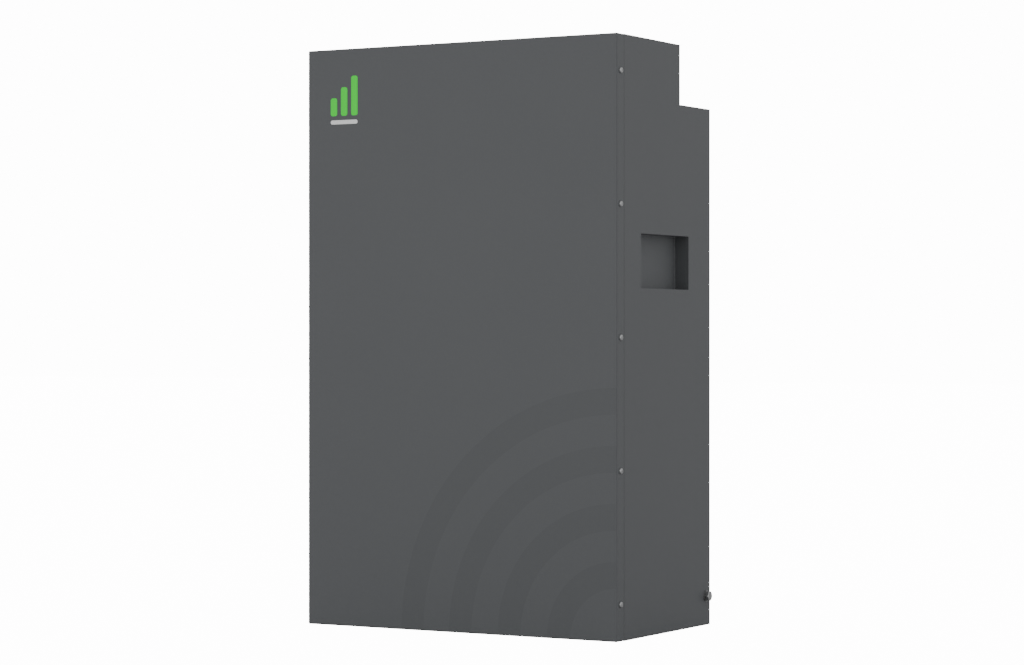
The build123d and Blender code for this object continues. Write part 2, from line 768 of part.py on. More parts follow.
def cable(points, radius):
    """A cable held at both ends, bent as gently as its runs allow."""
    path = FilletPolyline(*points, radius=radius)
    return sweep(Plane(origin=path @ 0, z_dir=path % 0) * Circle(cable_radius), path=path)


def power_cables():
    """The main cables, from the pack's end tabs by way of the fuse, management board and breaker."""
    bend_radius = 3 * cable_radius
    tab_x = column_x - pad_offset
    tab_y = pad_front - bar_thick - cable_radius
    tab_top = pad_z(cell_rows - 1) + tab_rise - bar_width / 2
    breaker_low = shelf_under - breaker_body
    near, far = around(breaker_middle, breaker_length / 2)
    fuse_y = tray_face - fuse_base[1] - fuse_tab - cable_radius
    in_x, out_x = around(fuse_middle, fuse_base[0] - (fuse_base[0] - fuse_length) / 2)
    land_in, land_out = bms_land_middles()
    land_y = tray_face - fin_height - heatsink_base - board_thick - bar_thick - cable_radius
    under_tray = pack_top + cable_over_pack
    return [
        cable([(tab_x, tab_y, tab_top), (in_x, tab_y, tab_top), (in_x, fuse_y, tab_top + cable_climb),
               (in_x, fuse_y, fuse_height)], bend_radius),
        cable([(out_x, fuse_y, fuse_height), (out_x, fuse_y, under_tray), (out_x, bay_y, under_tray),
               (far, bay_y, under_tray), (far, bay_y, breaker_low)], bend_radius),
        cable([(-tab_x, tab_y, tab_top), (land_in, tab_y, tab_top), (land_in, land_y, tab_top + cable_climb),
               (land_in, land_y, bms_bottom + bar_width)], bend_radius),
        cable([(land_out, land_y, bms_bottom + bar_width), (land_out, land_y, under_tray),
               (land_out, bay_y, under_tray), (near, bay_y, under_tray), (near, bay_y, breaker_low)], bend_radius),
    ]


def write_parts():
    save("front_cover", front_cover())
    save("cover_gasket", cover_gasket())
    save("front_frame", front_frame())
    save("right_side_panel", side_panel(with_earth=True))
    save("left_side_panel", mirrored(side_panel(with_earth=False)))
    save("base_panel", base_panel())
    save("top_panel", top_panel())
    save("bay_shelf", bay_shelf())
    save("back_panel", back_panel())
    save("right_handle_cup", handle_cup())
    save("left_handle_cup", mirrored(handle_cup()))
    save("case_screws", *case_screws())
    save("cover_nuts", *cover_nuts())
    save("wall_rivet_nuts", *wall_rivet_nuts())
    save("earth_bolt", earth_point()["bolt"])
    save("earth_washer", earth_point()["washer"])
    save("pack_rails", *pack_rails())
    save("lower_end_plate", end_plate(pack_floor))
    save("upper_end_plate", end_plate(cells_top))
    save("tie_rods", *tie_rods())
    save("m8_nuts", *m8_nuts())
    number = 0
    for column in (-1, 1):
        for row in range(cell_rows):
            number += 1
            save(f"cell_{number:02d}", cell(column, row))
    save("cell_separators", *cell_separators())
    save("centre_divider", block(around(0, divider), (cell_front, cell_back), (cells_bottom, cells_top)))
    save("busbar_carriers", *busbar_carriers())
    save("busbars", *busbars())
    save("electronics_plate", electronics_plate())
    save("bms_heatsink", bms_heatsink())
    save("bms_board", bms_board())
    save("main_fuse", *main_fuse())
    save("breaker_case", breaker_case())
    save("breaker_lever", breaker_lever())
    for pole, middle in block_middles.items():
        save(f"{pole}_terminal_block", terminal_block(middle))
        save(f"{pole}_terminal_cover", terminal_lid(middle))
    save("terminal_inserts", *terminal_inserts())
    save("hinge_pins", *hinge_pins())
    for name, piece in power_button().items():
        save(name, piece)
    save("comm_sockets", *comm_sockets())
    save("comm_board", comm_board())
    save("power_cables", *power_cables())


os.makedirs("parts", exist_ok=True)
write_parts()
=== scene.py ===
"""Looks for the battery cabinet: powder-coated case with a printed front, fasteners, connection bay and battery pack.

Metres. X runs to the right as seen from the front, Y to the back, Z up, with the floor at zero.
"""

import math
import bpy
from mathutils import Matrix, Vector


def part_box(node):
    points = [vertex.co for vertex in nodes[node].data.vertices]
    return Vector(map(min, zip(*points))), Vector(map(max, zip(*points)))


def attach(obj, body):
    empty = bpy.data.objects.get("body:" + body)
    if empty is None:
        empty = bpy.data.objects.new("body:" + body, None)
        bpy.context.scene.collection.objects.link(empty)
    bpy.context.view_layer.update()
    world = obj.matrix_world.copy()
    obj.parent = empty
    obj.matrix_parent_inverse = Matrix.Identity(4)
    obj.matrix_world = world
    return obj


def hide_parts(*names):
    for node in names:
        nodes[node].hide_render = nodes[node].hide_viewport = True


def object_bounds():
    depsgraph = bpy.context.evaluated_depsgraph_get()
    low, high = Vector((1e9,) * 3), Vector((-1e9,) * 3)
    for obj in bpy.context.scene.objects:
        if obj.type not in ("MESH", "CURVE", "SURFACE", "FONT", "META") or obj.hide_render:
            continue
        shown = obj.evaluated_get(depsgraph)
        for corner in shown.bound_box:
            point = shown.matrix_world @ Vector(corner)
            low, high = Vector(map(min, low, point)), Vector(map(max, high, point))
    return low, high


bl_info = {
    "name": "Battery Cabinet Looks",
    "version": (1, 0, 0),
    "blender": (4, 5, 0),
    "location": "View3D > Sidebar > Cabinet",
    "description": "Dresses the packed battery cabinet and sets its stage",
    "category": "Object",
}

import bpy
from mathutils import Vector

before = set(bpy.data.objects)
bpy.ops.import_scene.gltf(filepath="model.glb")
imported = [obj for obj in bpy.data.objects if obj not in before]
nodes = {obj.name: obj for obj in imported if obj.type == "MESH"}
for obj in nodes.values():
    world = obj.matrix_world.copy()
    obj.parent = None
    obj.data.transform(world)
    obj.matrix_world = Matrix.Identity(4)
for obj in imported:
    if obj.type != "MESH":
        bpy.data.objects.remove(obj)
cad_low, cad_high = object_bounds()
cover_low, cover_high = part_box("front_cover")
bolt_low, bolt_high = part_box("earth_bolt")
_, washer_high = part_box("earth_washer")
CELLS = sorted(n for n in nodes if n.startswith("cell_") and n[5:].isdigit())
PRINT_DEPTH = 0.0002  # a face's print is whole down to this depth and gone at twice it
INK = (0.02, 0.02, 0.02)  # near-black of the breaker's marks and the seal


# ---- Settings ---------------------------------------------------------------------------------------------
def colour(name, description, default):
    return bpy.props.FloatVectorProperty(name=name, description=description, default=default,
                                         subtype="COLOR", min=0, max=1)


def length(name, description, default):
    return bpy.props.FloatProperty(name=name, description=description, default=default, unit="LENGTH", precision=5)


def share(name, description, default):
    return bpy.props.FloatProperty(name=name, description=description, default=default,
                                   subtype="FACTOR", min=0, max=1)


class CasePaint(bpy.types.PropertyGroup):
    """The powder coat of the case."""
    tone: colour("Paint", "Anthracite powder coat", (0.0965, 0.1015, 0.1075))
    roughness: share("Roughness", "How dull the coat is", 0.52)
    peel: length("Orange peel", "Width of one bump in the coat", 0.0022)
    peel_depth: length("Peel depth", "Height of the bumps", 0.00003)
    # Painted fill light: the pockets' coat is the case's coat made lighter, to brighten their shaded recesses.
    pocket_painted_fill_tone: colour("Pocket", "Coat inside the lifting pockets", (0.106, 0.111, 0.117))


class FrontPrint(bpy.types.PropertyGroup):
    """The generic mark and the tone-on-tone bands printed on the front cover."""
    mark: colour("Mark", "Colour of the rising bars", (0.012, 0.95, 0.03))
    underline: colour("Underline", "Colour of the short line below them", (0.92, 0.93, 0.93))
    band: colour("Bands", "Tone of the large arcs", (0.0905, 0.0955, 0.1010))
    left: length("Left margin", "From the left edge to the mark", 0.039)
    top: length("Top margin", "From the top edge to the mark", 0.039)
    bar_width: length("Bar width", "Width of each bar", 0.0105)
    bar_height: length("Tallest bar", "Height of the tallest bar", 0.056)
    band_width: length("Band width", "Width of each arc", 0.036)
    band_pitch: length("Band pitch", "From one arc to the next", 0.078)
    first_band: length("First arc", "Radius of the smallest arc", 0.090)


class Metals(bpy.types.PropertyGroup):
    """Screws, bolts, rods and bars."""
    zinc: colour("Zinc", "Bright zinc of the fasteners", (0.44, 0.445, 0.45))
    dull: colour("Dull steel", "Washer of the earth point", (0.30, 0.305, 0.31))
    brass: colour("Brass", "Terminal inserts", (0.72, 0.52, 0.22))
    aluminium: colour("Aluminium", "Plates, busbars and pads", (0.78, 0.79, 0.80))
    roughness: share("Roughness", "How dull the zinc is", 0.38)
    head_radius: length("Screw head", "Radius of a case screw's head", 0.004)
    head_height: length("Head height", "Height of a case screw's head", 0.0024)
    screw_length: length("Screw length", "Length of a case screw below its head", 0.0064)
    flats: length("Bolt flats", "Width across the earth bolt's flats", 0.013)
    bolt_radius: length("Bolt shank", "Radius of the earth bolt's shank", 0.004)
    gold: colour("Contacts", "Gold of the data sockets' contacts", (0.83, 0.62, 0.25))


class Plastics(bpy.types.PropertyGroup):
    """Mouldings of the connection bay and the insulators of the pack."""
    black: colour("Black", "Terminal blocks and sockets", (0.022, 0.022, 0.024))
    red: colour("Red", "Cover of the positive terminals", (0.42, 0.018, 0.016))
    grey: colour("Grey", "Breaker", (0.40, 0.41, 0.41))
    green: colour("Green", "Button", (0.045, 0.30, 0.075))
    sheath: colour("Sheath", "Cable sheath", (0.018, 0.018, 0.019))
    wrap: colour("Wrap", "Film round each cell", (0.016, 0.085, 0.31))
    card: colour("Insulator", "Separators and carriers", (0.66, 0.64, 0.57))
    board: colour("Board", "Solder mask", (0.012, 0.115, 0.045))
    chip: colour("Chips", "Bodies on the boards", (0.02, 0.02, 0.022))
    ceramic: colour("Ceramic", "Body of the fuse", (0.72, 0.70, 0.64))
    legend: colour("Legend", "Marks on the mouldings", (0.82, 0.83, 0.83))


class Stage(bpy.types.PropertyGroup):
    """Floor, light and camera."""
    floor: colour("Floor", "Floor's tone as it throws light back", (0.55, 0.55, 0.55))
    lens: bpy.props.FloatProperty(name="Lens", description="Focal length", default=100.0, unit="CAMERA")
    turn: bpy.props.FloatProperty(name="Turn", description="Camera's angle to the right of the front",
                                  default=math.radians(30), subtype="ANGLE")
    eye: bpy.props.FloatVectorProperty(name="Eye", description="Where the camera stands",
                                       default=(2.0387, -3.5230, 0.410), subtype="TRANSLATION")
    rise: bpy.props.FloatProperty(name="Rise", description="Vertical shift of the camera", default=0.0048)
    key: bpy.props.FloatProperty(name="Key", description="Power of the large front light", default=62.0, unit="POWER")
    fill: bpy.props.FloatProperty(name="Fill", description="Power of the large side light", default=38.0, unit="POWER")
    sky: bpy.props.FloatProperty(name="Sky", description="Strength of the surroundings as light", default=0.74)
    glare: bpy.props.FloatProperty(name="Glare", description="Brightness of floor and surroundings to the camera",
                                   default=14.0)
    lamp_size: length("Lamp size", "Side of each square light", 3.2)
    lamp_gloss: share("Lamp gloss", "How much the lights show in reflections", 0.3)
    floor_size: length("Floor size", "Side of the square floor", 40.0)


# ---- Node helpers -----------------------------------------------------------------------------------------
class Tree:
    """Places and joins shader nodes in one tree."""

    def __init__(self, tree):
        self.tree = tree

    def add(self, kind, out=0, settings=None, **inputs):
        """A new node's output. Inputs go by name, or by number as i0, i1."""
        made = self.tree.nodes.new("ShaderNode" + kind)
        for key, value in (settings or {}).items():
            setattr(made, key, value)
        for key, value in inputs.items():
            numbered = key[0] == "i" and key[1:].isdigit()
            self.set(made.inputs[int(key[1:]) if numbered else key.replace("_", " ")], value)
        return made.outputs[out]

    def set(self, socket, value):
        if isinstance(value, bpy.types.NodeSocket):
            self.tree.links.new(value, socket)
        else:
            socket.default_value = value

    def math(self, operation, a, b=0.0, clamp=False):
        return self.add("Math", settings={"operation": operation, "use_clamp": clamp}, i0=a, i1=b)

    def ramp(self, value, low, high, start=0.0, end=1.0):
        """start at low to end at high, straight between and flat beyond."""
        return self.add("MapRange", Value=value, From_Min=low, From_Max=high, To_Min=start, To_Max=end)

    def mix(self, share_of_b, a, b):
        """Two colours mixed. The node keeps its colour sockets at 6, 7 and out 2."""
        return self.add("Mix", out=2, settings={"data_type": "RGBA"}, i0=share_of_b, i6=a, i7=b)

    def camera_ray(self):
        """1 where the camera looks straight at the surface, else 0."""
        return self.add("LightPath")

    def printed(self, height, top):
        """1 on a face at this height that looks up, 0 further down its sides."""
        return self.ramp(height, top - 2 * PRINT_DEPTH, top - PRINT_DEPTH)

    def place(self):
        """Object coordinates, whole and as X, Y and Z."""
        spot = self.add("TexCoord", out=3)
        parts = self.tree.nodes.new("ShaderNodeSeparateXYZ")
        self.tree.links.new(spot, parts.inputs[0])
        return spot, parts.outputs[0], parts.outputs[1], parts.outputs[2]


def solid(tone):
    return (*tone, 1.0)


def make_group(name, inputs, outputs):
    """An empty shader group with named inputs, their defaults, and named outputs."""
    group = bpy.data.node_groups.new(name, "ShaderNodeTree")
    for label, kind, default in inputs:
        socket = group.interface.new_socket(label, in_out="INPUT", socket_type="NodeSocket" + kind)
        if default is not None:
            socket.default_value = default
    for label, kind in outputs:
        group.interface.new_socket(label, in_out="OUTPUT", socket_type="NodeSocket" + kind)
    entry = group.nodes.new("NodeGroupInput")
    leave = group.nodes.new("NodeGroupOutput")
    return group, Tree(group), entry.outputs, leave.inputs


def surface_group():
    """Bumps, slow mottling and fine specks of a moulded or coated surface."""
    group, t, get, put = make_group(
        "Surface", [("Vector", "Vector", None), ("Bump Width", "Float", 0.002)],
        [("Height", "Float"), ("Mottle", "Float"), ("Speck", "Float")])
    scale = t.math("DIVIDE", 1.0, get["Bump Width"])
    bumps = t.add("TexNoise", Vector=get["Vector"], Scale=scale, Detail=1.5, Roughness=0.45)
    slow = t.add("TexNoise", Vector=get["Vector"], Scale=5.0, Detail=2.0, Roughness=0.5)
    specks = t.add("TexNoise", Vector=get["Vector"], Scale=t.math("MULTIPLY", scale, 3.0), Detail=0.0)
    t.set(put["Height"], bumps)
    t.set(put["Mottle"], t.math("SUBTRACT", slow, 0.5))
    t.set(put["Speck"], t.ramp(specks, 0.62, 0.78))
    return group


def bar_group():
    """Mask of a rounded bar in the plane of two coordinates."""
    group, t, get, put = make_group(
        "Rounded Bar",
        [(label, "Float", default) for label, default in (
            ("Across", 0.0), ("Up", 0.0), ("Middle Across", 0.0), ("Middle Up", 0.0),
            ("Half Width", 0.01), ("Half Height", 0.01), ("Corner", 0.002), ("Softness", 0.0002))],
        [("Mask", "Float")])
    sides = []
    for place, middle, half in (("Across", "Middle Across", "Half Width"), ("Up", "Middle Up", "Half Height")):
        away = t.math("ABSOLUTE", t.math("SUBTRACT", get[place], get[middle]))
        sides.append(t.math("MAXIMUM", t.math("SUBTRACT", away, t.math("SUBTRACT", get[half], get["Corner"])), 0.0))
    reach = t.math("SQRT", t.math("ADD", t.math("POWER", sides[0], 2.0), t.math("POWER", sides[1], 2.0)))
    beyond = t.math("SUBTRACT", reach, get["Corner"])
    t.set(put["Mask"], t.ramp(beyond, 0.0, get["Softness"], 1.0, 0.0))
    return group


def arc_group():
    """Mask of a ring in the plane of two coordinates."""
    group, t, get, put = make_group(
        "Ring Band",
        [(label, "Float", default) for label, default in (
            ("Across", 0.0), ("Up", 0.0), ("Middle Across", 0.0), ("Middle Up", 0.0),
            ("Radius", 0.1), ("Width", 0.03), ("Softness", 0.0002))],
        [("Mask", "Float")])
    x = t.math("SUBTRACT", get["Across"], get["Middle Across"])
    z = t.math("SUBTRACT", get["Up"], get["Middle Up"])
    reach = t.math("SQRT", t.math("ADD", t.math("POWER", x, 2.0), t.math("POWER", z, 2.0)))
    off = t.math("ABSOLUTE", t.math("SUBTRACT", reach, get["Radius"]))
    beyond = t.math("SUBTRACT", off, t.math("MULTIPLY", get["Width"], 0.5))
    t.set(put["Mask"], t.ramp(beyond, 0.0, get["Softness"], 1.0, 0.0))
    return group


def use(tree, group_name, out, **inputs):
    """Places a shared group in a material and returns the outputs asked for."""
    made = tree.tree.nodes.new("ShaderNodeGroup")
    made.node_tree = bpy.data.node_groups[group_name]
    for key, value in inputs.items():
        tree.set(made.inputs[key.replace("_", " ")], value)
    found = [made.outputs[label] for label in out]
    return found if len(found) > 1 else found[0]


def new_material(name):
    made = bpy.data.materials.new(name)
    made.use_nodes = True
    return made, Tree(made.node_tree), made.node_tree.nodes["Principled BSDF"].inputs


def finish_surface(t, shader, tone, roughness, bump_width, depth, mottle=0.06, speck=0.0):
    """Gives a material its colour, dullness and bumps, each varied a little over the surface."""
    spot = t.place()[0]
    height, slow, dots = use(t, "Surface", ("Height", "Mottle", "Speck"), Vector=spot, Bump_Width=bump_width)
    base = tone if isinstance(tone, bpy.types.NodeSocket) else solid(tone)
    lighter = t.add("HueSaturation", Color=base, Value=t.math("ADD", 1.0, t.math("MULTIPLY", slow, mottle)))
    if speck:
        lighter = t.add("HueSaturation", Color=lighter, Value=t.math("ADD", 1.0, t.math("MULTIPLY", dots, speck)))
    t.set(shader["Base Color"], lighter)
    t.set(shader["Roughness"], t.math("ADD", roughness, t.math("MULTIPLY", slow, 0.12), clamp=True))
    t.set(shader["Normal"], t.add("Bump", Strength=1.0, Distance=depth, Height=height))


def metal(name, tone, roughness, bump_width, depth, mottle):
    made, t, shader = new_material(name)
    finish_surface(t, shader, tuple(tone), roughness, bump_width, depth, mottle)
    shader["Metallic"].default_value = 1.0
    return made


def moulding(name, tone, roughness=0.5, bump_width=0.0008, depth=0.00001):
    made, t, shader = new_material(name)
    finish_surface(t, shader, tuple(tone), roughness, bump_width, depth, 0.08)
    return made


def powder_coat(name, tone, paint, duller=0.0):
    """The case's coat in one tone, or over a printed pattern that tone(tree) returns."""
    made, t, shader = new_material(name)
    shade = tone(t) if callable(tone) else tuple(tone)
    finish_surface(t, shader, shade, paint.roughness + duller, paint.peel, paint.peel_depth, 0.05, 0.10)
    shader["Specular IOR Level"].default_value = 0.4
    return made


def dress(material, *names):
    """Puts a material on CAD nodes."""
    for name in names:
        slots = nodes[name].data.materials
        slots.clear()
        slots.append(material)


# ---- Modelling helpers ------------------------------------------------------------------------------------
def deselect():
    if bpy.context.mode != "OBJECT":
        bpy.ops.object.mode_set(mode="OBJECT")
    bpy.ops.object.select_all(action="DESELECT")


def begin(kind, name, location, rotation=(0, 0, 0), **size):
    """Adds a primitive at its place, alone selected and active."""
    deselect()
    getattr(bpy.ops.mesh, f"primitive_{kind}_add")(location=location, rotation=rotation, **size)
    made = bpy.context.object
    made.name = name
    return made


def only(piece):
    deselect()
    piece.select_set(True)
    bpy.context.view_layer.objects.active = piece


def pick(piece, faces=None, edges=None):
    """Selects faces or edges of a piece by a test of their place, and enters edit mode."""
    only(piece)
    mesh = piece.data
    for item in list(mesh.vertices) + list(mesh.edges) + list(mesh.polygons):
        item.select = False
    if faces:
        for face in mesh.polygons:
            face.select = faces(face)
    if edges:
        for edge in mesh.edges:
            ends = [mesh.vertices[v].co for v in edge.vertices]
            edge.select = edges(*ends)
    bpy.ops.object.mode_set(mode="EDIT")
    bpy.ops.mesh.select_mode(type="FACE" if faces else "EDGE")


def leave():
    bpy.ops.object.mode_set(mode="OBJECT")


def settle(piece):
    """Applies the piece's place, turn and size, so that its object is at the origin."""
    only(piece)
    bpy.ops.object.transform_apply(location=True, rotation=True, scale=True)


def cut(piece, tool):
    """Takes one piece out of another and removes it."""
    only(piece)
    step = piece.modifiers.new("Cut", "BOOLEAN")
    step.object = tool
    step.solver = "EXACT"
    bpy.ops.object.modifier_apply(modifier=step.name)
    bpy.data.objects.remove(tool)


def join(name, pieces):
    """Joins finished pieces into one."""
    deselect()
    for piece in pieces:
        piece.select_set(True)
    bpy.context.view_layer.objects.active = pieces[0]
    bpy.ops.object.join()
    made = bpy.context.object
    made.name = name
    return made


def smooth(piece, degrees=35):
    only(piece)
    bpy.ops.object.shade_smooth_by_angle(angle=math.radians(degrees))


def hand_over(piece, body, slot, material, *replaced):
    """Gives a finished piece its material and its body, and hides the CAD nodes it stands for."""
    piece.data.materials.clear()
    piece.data.materials.append(material)
    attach(piece, body)
    if replaced:
        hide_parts(*replaced)


def islands(name):
    """Boxes of the separate solids of a CAD node, as (lowest, highest) corners."""
    mesh = nodes[name].data
    key = {}
    owner = list(range(len(mesh.vertices)))

    def root(v):
        while owner[v] != v:
            owner[v] = owner[owner[v]]
            v = owner[v]
        return v

    for v in mesh.vertices:
        spot = tuple(round(c, 6) for c in v.co)
        owner[v.index] = root(key.setdefault(spot, v.index))
    for face in mesh.polygons:
        first = root(face.vertices[0])
        for v in face.vertices[1:]:
            owner[root(v)] = first
    groups = {}
    for v in mesh.vertices:
        groups.setdefault(root(v.index), []).append(v.co)
    return [(Vector(map(min, zip(*g))), Vector(map(max, zip(*g)))) for g in groups.values()]


class CabinetStep(bpy.types.Operator):
    """One step in dressing the cabinet"""
    bl_options = {"REGISTER"}

    def execute(self, context):
        deselect()
        self.make(context.scene)
        deselect()
        return {"FINISHED"}


# ---- Case -------------------------------------------------------------------------------------------------
class CABINET_OT_groups(CabinetStep):
    """Build the shader groups that the materials share"""
    bl_idname = "cabinet.groups"
    bl_label = "Shared Effects"

    def make(self, scene):
        surface_group()
        bar_group()
        arc_group()


class CABINET_OT_case(CabinetStep):
    """Coat the folded panels of the case, the lifting pockets in a lighter copy of the coat as painted fill light"""
    bl_idname = "cabinet.case"
    bl_label = "Case Panels"

    def make(self, scene):
        paint = scene.cabinet_paint
        dress(powder_coat("powder_coat", paint.tone, paint),
              "right_side_panel", "left_side_panel", "top_panel", "bay_shelf", "back_panel", "base_panel")
        # Painted fill light: the pockets get a lighter copy of the case's coat, so their shaded walls come out
        # brighter.
        dress(powder_coat("pocket_coat_painted_fill", paint.pocket_painted_fill_tone, paint, 0.05), "right_handle_cup", "left_handle_cup")


class CABINET_OT_cover(CabinetStep):
    """Coat the front cover and print its generic mark and bands"""
    bl_idname = "cabinet.cover"
    bl_label = "Front Cover"

    def make(self, scene):
        paint, prints = scene.cabinet_paint, scene.cabinet_print
        dress(powder_coat("cover_coat", lambda t: self.printed_tone(t, paint, prints), paint), "front_cover")

    def printed_tone(self, t, paint, prints):
        """The coat's tone with the bands, then the mark, on the cover's front face alone."""
        _, x, y, z = t.place()
        tone = solid(paint.tone)
        on_front = t.ramp(y, cover_low.y + PRINT_DEPTH, cover_low.y + 2 * PRINT_DEPTH, 1.0, 0.0)
        tone = t.mix(t.math("MULTIPLY", self.bands(t, x, z, prints), on_front), tone, solid(prints.band))
        green, white = self.mark(t, x, z, prints)
        tone = t.mix(t.math("MULTIPLY", green, on_front), tone, solid(prints.mark))
        return t.mix(t.math("MULTIPLY", white, on_front), tone, solid(prints.underline))

    def bands(self, t, x, z, prints):
        total = None
        for n in range(4):
            band = use(t, "Ring Band", ("Mask",), Across=x, Up=z, Middle_Across=cover_high.x, Middle_Up=cover_low.z,
                       Radius=prints.first_band + prints.band_pitch * n, Width=prints.band_width)
            total = band if total is None else t.math("MAXIMUM", total, band)
        return total

    def mark(self, t, x, z, prints):
        """Three rising bars over a short line."""
        foot = cover_high.z - prints.top - prints.bar_height
        green = None
        for n, part in enumerate((0.45, 0.72, 1.0)):
            tall = prints.bar_height * part
            middle = cover_low.x + prints.left + prints.bar_width * (0.5 + 1.65 * n)
            bar = use(t, "Rounded Bar", ("Mask",), Across=x, Up=z, Middle_Across=middle, Middle_Up=foot + tall / 2,
                      Half_Width=prints.bar_width / 2, Half_Height=tall / 2, Corner=prints.bar_width * 0.3)
            green = bar if green is None else t.math("MAXIMUM", green, bar)
        wide = prints.bar_width * 4.3
        white = use(t, "Rounded Bar", ("Mask",), Across=x, Up=z, Middle_Across=cover_low.x + prints.left + wide / 2,
                    Middle_Up=foot - 0.009, Half_Width=wide / 2, Half_Height=0.0028, Corner=0.0026)
        return green, white


# ---- Fasteners --------------------------------------------------------------------------------------------
class CABINET_OT_screws(CabinetStep):
    """Model the cross-recess screws of the cover and the back"""
    bl_idname = "cabinet.screws"
    bl_label = "Case Screws"

    def make(self, scene):
        metals = scene.cabinet_metals
        pattern = self.screw(metals)
        copies = []
        for low, high in islands("case_screws"):
            copy = pattern.copy()
            copy.data = pattern.data.copy()
            scene.collection.objects.link(copy)
            middle = (low + high) / 2
            if high.y - low.y > high.x - low.x:
                copy.rotation_euler = (-math.pi / 2, 0, 0)
                copy.location = (middle.x, high.y - metals.head_height, middle.z)
            else:
                side = 1 if middle.x > 0 else -1
                copy.rotation_euler = (0, side * math.pi / 2, 0)
                copy.location = (side * (max(abs(high.x), abs(low.x)) - metals.head_height), middle.y, middle.z)
            settle(copy)
            copies.append(copy)
        bpy.data.objects.remove(pattern)
        screws = join("case_screw_set", copies)
        smooth(screws, 30)
        hand_over(screws, "cabinet", "zinc_steel", self.finish(metals), "case_screws")

    def screw(self, metals):
        """One pan-head screw pointing up, its seat at the origin."""
        r, h = metals.head_radius, metals.head_height
        head = begin("cylinder", "screw", (0, 0, h / 2), vertices=40, radius=r, depth=h)
        pick(head, edges=lambda a, b: a.z > h * 0.4 and b.z > h * 0.4)
        bpy.ops.mesh.bevel(offset=h * 0.62, segments=5, profile=0.5)
        leave()
        pick(head, faces=lambda f: f.normal.z < -0.9)
        bpy.ops.mesh.inset(thickness=r * 0.5)
        bpy.ops.mesh.extrude_region_move(TRANSFORM_OT_translate={"value": (0, 0, -metals.screw_length)})
        leave()
        settle(head)
        for turn in (0, math.pi / 2):
            arm = begin("cube", "arm", (0, 0, h), (0, 0, turn), size=1)
            arm.scale = (r * 1.22, r * 0.27, h * 1.1)
            settle(arm)
            pick(arm, faces=lambda f: f.normal.z < -0.9)
            bpy.ops.transform.resize(value=(0.45, 0.45, 1.0), center_override=(0, 0, h * 0.45))
            leave()
            cut(head, arm)
        return head

    def finish(self, metals):
        return metal("screw_zinc", metals.zinc, metals.roughness, 0.0009, 0.000008, 0.25)


class CABINET_OT_earth_bolt(CabinetStep):
    """Model the chamfered hexagon bolt of the earth point and finish its washer"""
    bl_idname = "cabinet.earth_bolt"
    bl_label = "Earth Bolt"

    def make(self, scene):
        metals = scene.cabinet_metals
        middle = (bolt_low + bolt_high) / 2
        seat = washer_high.x
        tall = bolt_high.x - seat
        corner = metals.flats / math.sqrt(3)
        quarter = (0, math.pi / 2, 0)
        head = begin("cylinder", "earth_bolt_head", (seat + tall / 2, middle.y, middle.z), quarter, vertices=6,
                     radius=corner, depth=tall)
        settle(head)
        cone = begin("cone", "chamfer", (seat + tall / 2 + 0.0004, middle.y, middle.z), quarter, vertices=64,
                     radius1=corner * 1.55, radius2=metals.flats * 0.475, depth=tall - 0.0008)
        settle(cone)
        only(head)
        step = head.modifiers.new("Chamfer", "BOOLEAN")
        step.operation = "INTERSECT"
        step.object = cone
        step.solver = "EXACT"
        bpy.ops.object.modifier_apply(modifier=step.name)
        bpy.data.objects.remove(cone)
        shank_long = seat - bolt_low.x
        shank = begin("cylinder", "shank", (bolt_low.x + shank_long / 2, middle.y, middle.z), quarter, vertices=32,
                      radius=metals.bolt_radius, depth=shank_long)
        settle(shank)
        bolt = join("earth_bolt_turned", [head, shank])
        smooth(bolt, 25)
        zinc = metal("bolt_zinc", metals.zinc, metals.roughness - 0.04, 0.0012, 0.00001, 0.3)
        hand_over(bolt, "cabinet", "zinc_steel", zinc, "earth_bolt")
        dress(metal("washer_dull", metals.dull, 0.55, 0.0012, 0.00001, 0.3), "earth_washer")


class CABINET_OT_metals(CabinetStep):
    """Give the plain metal parts their zinc, brass and aluminium"""
    bl_idname = "cabinet.metals"
    bl_label = "Metal Parts"

    def make(self, scene):
        metals = scene.cabinet_metals
        for name, tone, dull, parts in (
                ("zinc", metals.zinc, 0.38, ("cover_nuts", "wall_rivet_nuts", "m8_nuts", "tie_rods", "hinge_pins",
                                             "power_button_nut", "front_frame", "electronics_plate", "pack_rails")),
                ("brass", metals.brass, 0.28, ("terminal_inserts",)),
                ("aluminium", metals.aluminium, 0.36, ("lower_end_plate", "upper_end_plate", "bms_heatsink",
                                                       "busbars"))):
            dress(metal(name, tone, dull, 0.003, 0.00001, 0.35), *parts)


# ---- Mouldings, cells and electronics ---------------------------------------------------------------------
class CABINET_OT_terminals(CabinetStep):
    """Give the terminal blocks their plastics, and the covers their polarity signs"""
    bl_idname = "cabinet.terminals"
    bl_label = "Terminals"

    def make(self, scene):
        plastics = scene.cabinet_plastics
        dress(moulding("block_black", plastics.black), "negative_terminal_block", "positive_terminal_block")
        for pole, tone in (("positive", plastics.red), ("negative", plastics.black)):
            node = f"{pole}_terminal_cover"
            low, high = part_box(node)
            made, t, shader = new_material(f"{pole}_cover")
            _, x, y, z = t.place()
            place = dict(Across=x, Up=y, Middle_Across=(low.x + high.x) / 2, Middle_Up=(low.y + high.y) / 2 + 0.003)
            long, thick, corner = 0.009, 0.0019, 0.0006
            sign = use(t, "Rounded Bar", ("Mask",), Half_Width=long, Half_Height=thick, Corner=corner, **place)
            if pole == "positive":
                upright = use(t, "Rounded Bar", ("Mask",), Half_Width=thick, Half_Height=long, Corner=corner, **place)
                sign = t.math("MAXIMUM", sign, upright)
            sign = t.math("MULTIPLY", sign, t.printed(z, high.z))
            finish_surface(t, shader, t.mix(sign, solid(tone), solid(plastics.legend)), 0.48, 0.0009, 0.000012, 0.08)
            dress(made, node)


